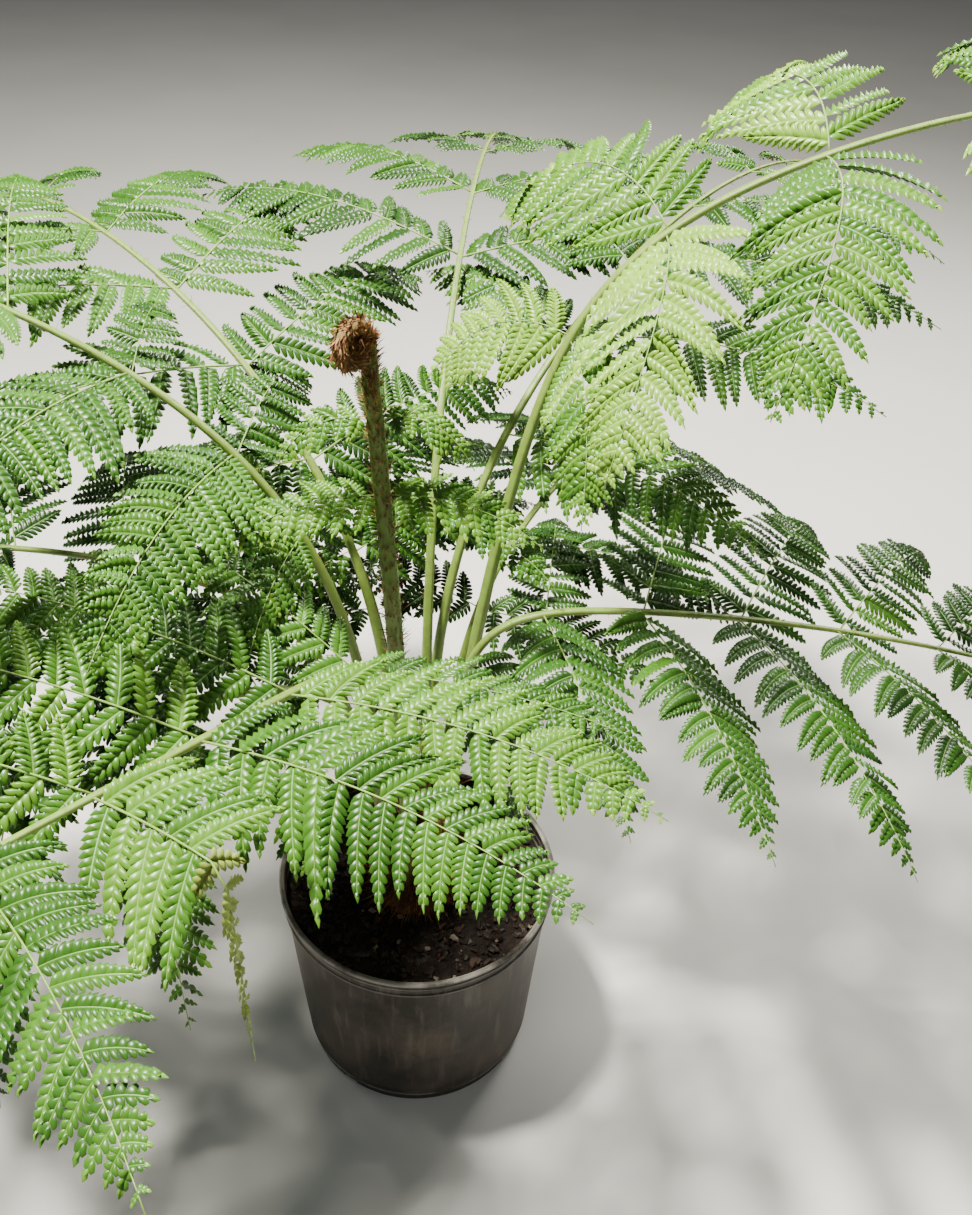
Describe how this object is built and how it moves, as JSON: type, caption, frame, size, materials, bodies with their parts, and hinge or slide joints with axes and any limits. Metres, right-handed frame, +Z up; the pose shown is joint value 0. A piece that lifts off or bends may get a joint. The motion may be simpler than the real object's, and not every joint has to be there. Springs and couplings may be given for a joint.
{
  "type": "potted tree fern",
  "caption": "Young tree fern in a round black nursery pot, with arching feathery fronds and a coiled young frond on a short fibrous trunk.",
  "frame": {"origin": "centre of the pot's flat underside, on the surface that it stands on", "axes": "+Z up along the pot's axis; -Y is the front, the open side between the fronds from which the pot is seen; +X is to the right"},
  "size_m": [1.5552, 1.4133, 1.184],
  "materials": {
    "pot": "dusty black moulded plastic, lightly scuffed",
    "soil": "damp dark bark-based potting mix",
    "trunk": "matted orange-brown fibres and old stalk bases",
    "stalk": "ribbed green stalk with golden brown hairs and scales",
    "leaf": "soft matt leaf with a pale sheen",
    "young_leaf": "bright young leaf and brown-scaled coil"
  },
  "bodies": {
    "root": {"pot": "pot", "soil": "soil", "trunk": "trunk", "young_frond": "young_leaf", "stalk_front_left": "stalk", "stalk_right": "stalk", "stalk_right_high": "stalk", "stalk_back_left": "stalk", "stalk_back": "stalk", "stalk_left": "stalk", "stalk_left_front": "stalk", "stalk_right_back": "stalk", "stalk_left_back": "stalk", "stalk_left_high": "stalk", "stalk_back_right": "stalk", "frond_front_left": "leaf", "frond_right": "leaf", "frond_right_high": "leaf", "frond_back_left": "leaf", "frond_back": "leaf", "frond_left": "leaf", "frond_left_front": "leaf", "frond_right_back": "leaf", "frond_left_back": "leaf", "frond_left_high": "leaf", "frond_back_right": "leaf"}
  },
  "joints": []
}
